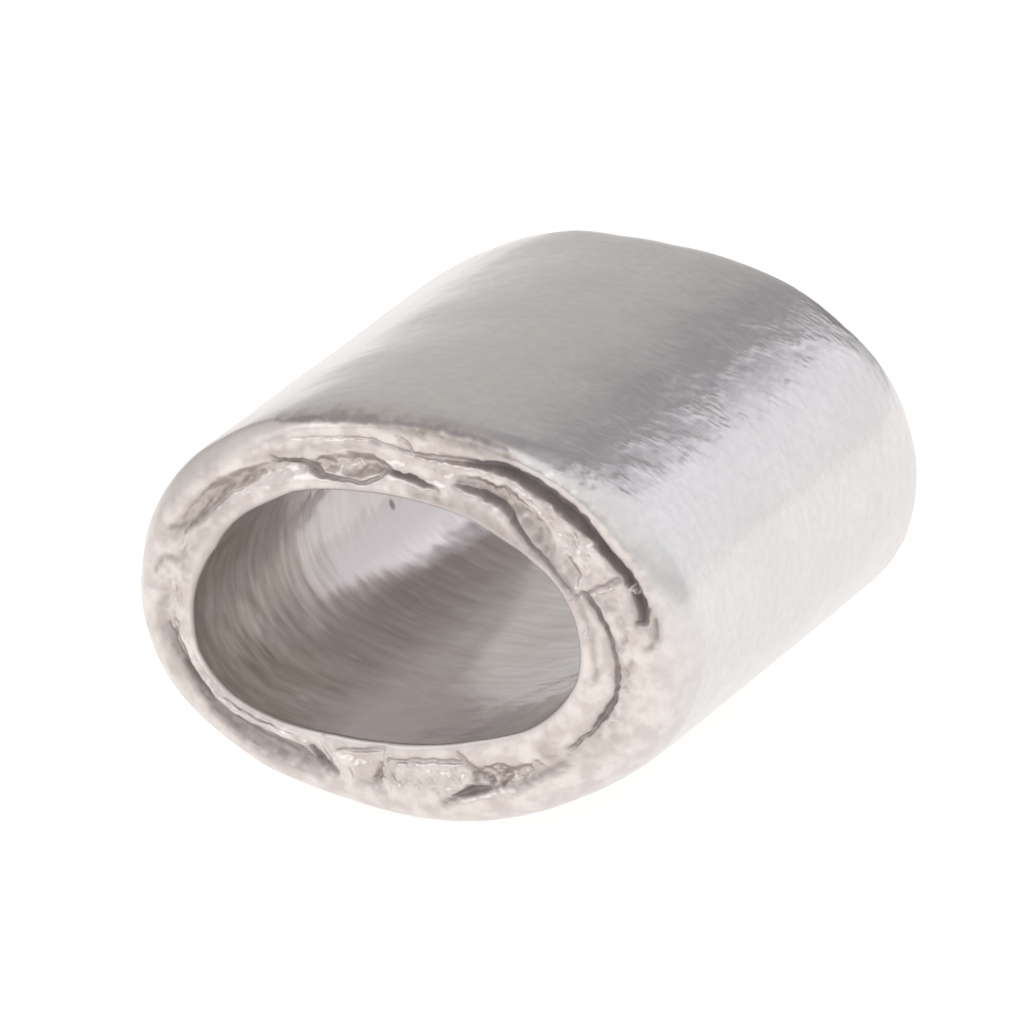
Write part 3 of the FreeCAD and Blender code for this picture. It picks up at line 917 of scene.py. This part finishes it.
# %% [markdown]
# ## The metal
# Tumbled aluminium is a satin mirror: metallic, fairly rough, a little uneven. Torn metal is
# rougher and creamier. Dirt is no metal, so the cracks, the stains and the bore's film are less
# metallic, and so are the painted shade in them and the worn lip between bore and face. All of
# this follows the attributes, and noise in Object coordinates, so that it stays with the piece.

# %% Choose the colors
BARE_DARK, BARE_LIGHT = (0.675, 0.67, 0.665, 1), (0.715, 0.71, 0.705, 1)
BARE_SPECKS = (0.6, 0.595, 0.605, 1)
CREAM_DARK, CREAM_LIGHT = (0.64, 0.575, 0.55, 1), (0.8, 0.75, 0.715, 1)
# The brown paints dirt and painted shade; the near black paints oxide and painted shade in cracks and
# creases.
STAIN_AND_SHADE_BROWN = (0.33, 0.28, 0.255, 1)
SOOT_AND_SHADE = (0.26, 0.23, 0.235, 1)
# The bore's wall runs from its tone in shade to its painted reflection.
WALL_IN_SHADE, WALL_REFLECTING = (0.43, 0.4, 0.395, 1), (0.98, 0.95, 0.955, 1)
WALL_RINGS = (0.53, 0.5, 0.495, 1)
# The film's colors paint brown dirt and shade together.
FILM_DARK, FILM_LIGHT = (0.37, 0.31, 0.27, 1), (0.52, 0.46, 0.41, 1)
FILM_SCUFFS = (0.66, 0.62, 0.6, 1)
SPOT_COLOR = (0.2, 0.19, 0.19, 1)
print("colors chosen")

# %% [markdown]
# Noise breaks up every color. Each pattern has a scale, in lumps per metre, then a detail, and
# some are squeezed along the sleeve, which makes rings in the bore and short strokes outside.


# %% Choose the patterns
CLOUD = (900.0, 3.0)
PATCHES = (5000.0, 3.0)
SPECKS = (9000.0, 2.0)
RINGS = (1500.0, 3.0, (1.0, 5.0, 1.0))
SCUFFS = (2600.0, 2.0, (1.0, 2.5, 1.0))
STROKES = (7000.0, 1.0, (1.0, 2.2, 1.0))
STROKES_HERE = (2500.0, 1.0)
DENTS = (3200.0, 3.0, (1.0, 1.3, 1.0))
WAVES = (1600.0, 2.0)


class Paint(Board):
    """A material's board, with the nodes that a finish needs most."""

    def painted(self, name):
        """A number stored on the points."""
        return self.add("ShaderNodeAttribute", {"attribute_name": name}, None, "Fac")

    def place(self):
        """Where the point is on the object, in metres."""
        return self.add("ShaderNodeTexCoord", None, None, "Object")

    def noise(self, scale, detail=2.0, stretch=(1.0, 1.0, 1.0)):
        mapped = self.add("ShaderNodeMapping", None, {"Vector": self.place(), "Scale": stretch})
        values = {"Vector": mapped, "Scale": scale, "Detail": detail}
        return self.add("ShaderNodeTexNoise", None, values, "Fac")

    def mix(self, factor, first, second):
        """A color between two, the first where the factor is 0."""
        values = {"Factor": factor, "A": first, "B": second}
        return self.add("ShaderNodeMix", {"data_type": "RGBA"}, values, 2)


print("patterns chosen")

# %% [markdown]
# The outside and the torn face share one color, from bare grey to cream, with brown stains and
# painted shade. The bore has its own: a wall darker in shade and lighter by painted reflection,
# the film of dirt and painted shade over it, and one dark spot on its left. Image textures could
# be painted instead, but noise has no edge and no size in pixels.


# %% Mix the colors
SPECKS_SHOW, RINGS_SHOW, SCUFFS_SHOW = 0.5, 0.5, 0.4
SPOT_AT = (-0.00217, 0.00152, 0.00169)
SPOT_INNER, SPOT_OUTER = 0.00003, 0.00008


def outside_color(paint, cloud, stain):
    """The color of the outside and of the torn face, with its stains and its painted shade."""
    patchy = paint.noise(*PATCHES)
    bare = paint.mix(cloud.step(0.3, 0.7), BARE_DARK, BARE_LIGHT)
    bare = paint.mix(paint.noise(*SPECKS).step(0.25, 0.75) * SPECKS_SHOW, bare, BARE_SPECKS)
    cream = paint.mix(patchy.step(0.35, 0.65), CREAM_DARK, CREAM_LIGHT)
    color = paint.mix(paint.painted("torn"), bare, cream)
    return paint.mix((stain * (0.5 + patchy)).kept_within(), color, STAIN_AND_SHADE_BROWN)


def bore_color(paint, rings, film):
    """The color of the bore's wall, with its painted shade and painted reflection, its rings, its film
    of dirt and painted shade, and its one dark spot.
    """
    # Painted reflection: the wall from its tone in shade to its lit, reflecting tone.
    wall = paint.mix(paint.painted("polish"), WALL_IN_SHADE, WALL_REFLECTING)
    wall = paint.mix(rings.step(0.3, 0.7) * RINGS_SHOW, wall, WALL_RINGS)
    dirt = paint.mix(rings.step(0.25, 0.75), FILM_DARK, FILM_LIGHT)
    dirt = paint.mix(paint.noise(*SCUFFS).step(0.56, 0.76) * SCUFFS_SHOW, dirt, FILM_SCUFFS)
    wall = paint.mix(film, wall, dirt)
    from_spot = {0: paint.place(), 1: SPOT_AT}
    away = paint.add("ShaderNodeVectorMath", {"operation": "DISTANCE"}, from_spot, "Value")
    return paint.mix(away.step(SPOT_INNER, SPOT_OUTER), SPOT_COLOR, wall)


print("color mixers ready")

# %% [markdown]
# Dents and strokes are finer than the mesh, so they are a bump in the material. Everything then
# meets in one shader. The film's soft end is made ragged by the rings and by the cloud, and where
# the bore turns into the face, the lip is worn dull.


# %% Write the metal
BUMP_HEIGHT, BUMP_STRENGTH = 0.00002, 0.8
DENTS_ANYWHERE, DENTS_HAMMERED = 0.3, 0.4
RINGS_HIGH, WAVES_HIGH = 0.3, 2.5
FILM_SOFT, RINGS_RAG, CLOUD_RAG = 0.7, 1.2, 2.0
RECESS_DULL, FILM_DULL, LIP_DULL, STAIN_AND_SHADE_DULL = 0.6, 0.35, 0.5, 0.4
BARE_ROUGH, TORN_ROUGHER, BORE_SMOOTHER = 0.21, 0.17, 0.05
FILM_ROUGHER, RECESS_ROUGHER = 0.2, 0.3


def surface_ripples(paint, rings, in_bore):
    """The height of the small relief: strokes and dents outside, rings and waves in the bore."""
    hammered = paint.painted("hammered")
    strokes = paint.noise(*STROKES) * paint.noise(*STROKES_HERE).step(0.4, 0.6)
    dents = paint.noise(*DENTS) * (DENTS_ANYWHERE + DENTS_HAMMERED * hammered)
    outer = (strokes * hammered + dents) * (1 - in_bore)
    return outer + (RINGS_HIGH * rings + WAVES_HIGH * paint.noise(*WAVES)) * in_bore


def write_aluminium(material):
    """Writes the one material of the sleeve, from what its points carry."""
    material.use_nodes = True
    material.node_tree.nodes.clear()
    paint = Paint(material.node_tree)
    recess, stain, torn = paint.painted("recess"), paint.painted("stain"), paint.painted("torn")
    in_bore = paint.painted("in_bore")
    cloud, rings = paint.noise(*CLOUD), paint.noise(*RINGS)
    past = paint.painted("past_film") + RINGS_RAG * (rings - 0.5) + CLOUD_RAG * (cloud - 0.5)
    film = (1 - past.step(-FILM_SOFT, FILM_SOFT)) * in_bore * paint.painted("film")
    outer, inner = outside_color(paint, cloud, stain), bore_color(paint, rings, film)
    # Black in the cracks: partly oxide, partly painted shade.
    color = paint.mix(recess.kept_within(), paint.mix(in_bore, outer, inner), SOOT_AND_SHADE)
    lip = 4 * in_bore * (1 - in_bore)
    dull = RECESS_DULL * recess + FILM_DULL * film + LIP_DULL * lip + STAIN_AND_SHADE_DULL * stain
    roughness = BARE_ROUGH + TORN_ROUGHER * torn - BORE_SMOOTHER * in_bore
    roughness = roughness + FILM_ROUGHER * film + RECESS_ROUGHER * recess
    height = surface_ripples(paint, rings, in_bore)
    relief = {"Strength": BUMP_STRENGTH, "Distance": BUMP_HEIGHT, "Height": height}
    values = {
        "Base Color": color,
        "Metallic": 1 - dull.kept_within(),
        "Roughness": roughness.kept_within(),
        "Normal": paint.add("ShaderNodeBump", None, relief),
    }
    metal = paint.add("ShaderNodeBsdfPrincipled", None, values)
    paint.add("ShaderNodeOutputMaterial", None, {"Surface": metal})


write_aluminium(aluminium)
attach(sleeve, "root")
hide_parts("ferrule")
print("nodes in the metal:", len(aluminium.node_tree.nodes))

# %% [markdown]
# ## The studio
# The ferrule lies on a white table. Metal shows what surrounds it, so the room matters more than
# the lamps: it is white on the right and in front, grey on the left and above, and has a darker
# gap overhead. The dark band along the sleeve is that gap, mirrored.

# %% Lay the floor
FLOOR_HALF = 0.25
FLOOR_SUNK = 0.00001
FLOOR_GREY, FLOOR_ROUGHNESS = (0.35, 0.35, 0.35, 1), 0.8
FLOOR_GLOW, FLOOR_GLOW_STRENGTH = (1.04, 1.0, 0.98, 1), 0.79


def make_floor():
    corners = [(-FLOOR_HALF, -FLOOR_HALF), (FLOOR_HALF, -FLOOR_HALF)]
    corners += [(FLOOR_HALF, FLOOR_HALF), (-FLOOR_HALF, FLOOR_HALF)]
    mesh = bpy.data.meshes.new("white_table")
    mesh.from_pydata([(x, y, -FLOOR_SUNK) for x, y in corners], [], [(0, 1, 2, 3)])
    material = bpy.data.materials.new("white_table_top")
    material.use_nodes = True
    material.node_tree.nodes.clear()
    board = Board(material.node_tree)
    values = {"Base Color": FLOOR_GREY, "Roughness": FLOOR_ROUGHNESS}
    values |= {"Emission Color": FLOOR_GLOW, "Emission Strength": FLOOR_GLOW_STRENGTH}
    top = board.add("ShaderNodeBsdfPrincipled", None, values)
    board.add("ShaderNodeOutputMaterial", None, {"Surface": top})
    mesh.materials.append(material)
    floor = bpy.data.objects.new("white_table", mesh)
    bpy.context.scene.collection.objects.link(floor)


make_floor()
print("table laid")

# %% [markdown]
# The room is the world's background. A ring of colors fills its roof and its far end: each has
# an angle round the sleeve's length, in degrees from the right over the top to the left, because
# that is the angle which the long sides mirror. In front, and low at the sides, the room is plain
# white. Straight along the sleeve it is darker. A dozen lamps could do the same, but a ring of
# colors can be matched to the tones round the sleeve one by one.

# %% Surround it with the room
ROOM = [
    (0, (1.03, 1.0, 0.98)), (15, (1.07, 1.04, 1.07)), (58, (1.06, 1.03, 1.07)),
    (66, (0.94, 0.91, 0.95)), (72, (0.74, 0.7, 0.73)), (79, (0.5, 0.475, 0.495)),
    (87, (0.37, 0.35, 0.365)), (98, (0.465, 0.45, 0.455)), (108, (0.56, 0.54, 0.53)),
    (118, (0.62, 0.595, 0.57)), (138, (0.63, 0.6, 0.575)), (158, (0.67, 0.65, 0.63)),
    (180, (0.74, 0.73, 0.72)),
]
HALF_TURN = 180
ENDS_LEVEL = 0.45
ENDS_EDGE = (0.1, 0.34)
SIDES_END, ROOF_BEGINS, FRONT_ENDS = (0.35, 0.65), (0.6, 0.85), (-0.6, -0.2)
WALL_WHITE, HIGH_WHITE, HIGH = 0.82, 0.2, (0.2, 0.55)


def light_room():
    world = bpy.data.worlds.new("bright_room")
    bpy.context.scene.world = world
    world.use_nodes = True
    world.node_tree.nodes.clear()
    board = Board(world.node_tree)
    direction = board.add("ShaderNodeTexCoord", None, None, "Generated")
    apart = board.tree.nodes.new("ShaderNodeSeparateXYZ")
    board.tree.links.new(direction.socket, apart.inputs[0])
    x, y, z = (Wire(board, socket) for socket in apart.outputs)
    turn = z.math("ARCTAN2", x) / math.pi
    stops = [(angle / HALF_TURN, color) for angle, color in ROOM]
    around = board.add("ShaderNodeValToRGB", {"stops": stops}, {"Fac": turn})
    sideways = (x * x + z * z).root()
    strength = ENDS_LEVEL + (1 - ENDS_LEVEL) * sideways.step(*ENDS_EDGE)
    low_sides = (1 - y.step(*SIDES_END)) * (1 - z.step(*ROOF_BEGINS))
    front = 1 - y.step(*FRONT_ENDS)
    open_part = low_sides.math("MAXIMUM", front)
    white = WALL_WHITE + HIGH_WHITE * z.step(*HIGH)
    values = {"Factor": open_part, "A": around, "B": board.gray(white)}
    color = board.add("ShaderNodeMix", {"data_type": "RGBA"}, values, 2)
    background = board.add("ShaderNodeBackground", None, {"Color": color, "Strength": strength})
    board.add("ShaderNodeOutputWorld", None, {"Surface": background})


light_room()
print("room lit")

# %% [markdown]
# One soft lamp in front and above brings out the relief of the torn face.

# %% Hang the softbox
LAMP_AT = (-0.11, -0.21, 0.18)
LAMP_SIZE = 0.2
LAMP_WATTS = 0.12
lamp_data = bpy.data.lights.new("front_softbox", "AREA")
lamp_data.shape = "SQUARE"
lamp_data.size = LAMP_SIZE
lamp_data.energy = LAMP_WATTS
lamp = bpy.data.objects.new("front_softbox", lamp_data)
lamp.location = LAMP_AT
lamp.rotation_mode = "QUATERNION"
lamp.rotation_quaternion = lamp.location.to_track_quat("Z", "Y")
bpy.context.scene.collection.objects.link(lamp)
print("softbox, W:", LAMP_WATTS)

# %% [markdown]
# ## The camera
# The picture was taken from far away with a long lens: the sleeve's edges hardly converge. The
# camera looks down on the torn end from the right.

# %% Set the camera
AZIMUTH = math.radians(22.2)
ELEVATION = math.radians(18.43)
DISTANCE = 0.204
SENSOR = 36.0
PICTURE = 1024
FOCAL_PIXELS = 20000
MIDDLE_AT = (531.12, 523.57)


def set_camera():
    back = Vector((
        math.sin(AZIMUTH) * math.cos(ELEVATION),
        -math.cos(AZIMUTH) * math.cos(ELEVATION),
        math.sin(ELEVATION),
    ))
    data = bpy.data.cameras.new("long_lens")
    data.sensor_width = SENSOR
    data.lens = SENSOR * FOCAL_PIXELS / PICTURE
    data.shift_x = (PICTURE / 2 - MIDDLE_AT[0]) / PICTURE
    data.shift_y = (MIDDLE_AT[1] - PICTURE / 2) / PICTURE
    data.clip_start, data.clip_end = 0.01, 2.0
    camera = bpy.data.objects.new("long_lens", data)
    camera.location = Vector((0, 0, HALF_HEIGHT * MM)) + back * DISTANCE
    camera.rotation_mode = "QUATERNION"
    camera.rotation_quaternion = back.to_track_quat("Z", "Y")
    bpy.context.scene.collection.objects.link(camera)
    bpy.context.scene.camera = camera


set_camera()
bpy.context.scene.view_settings.view_transform = "Standard"
print("lens, mm:", round(bpy.context.scene.camera.data.lens, 1))
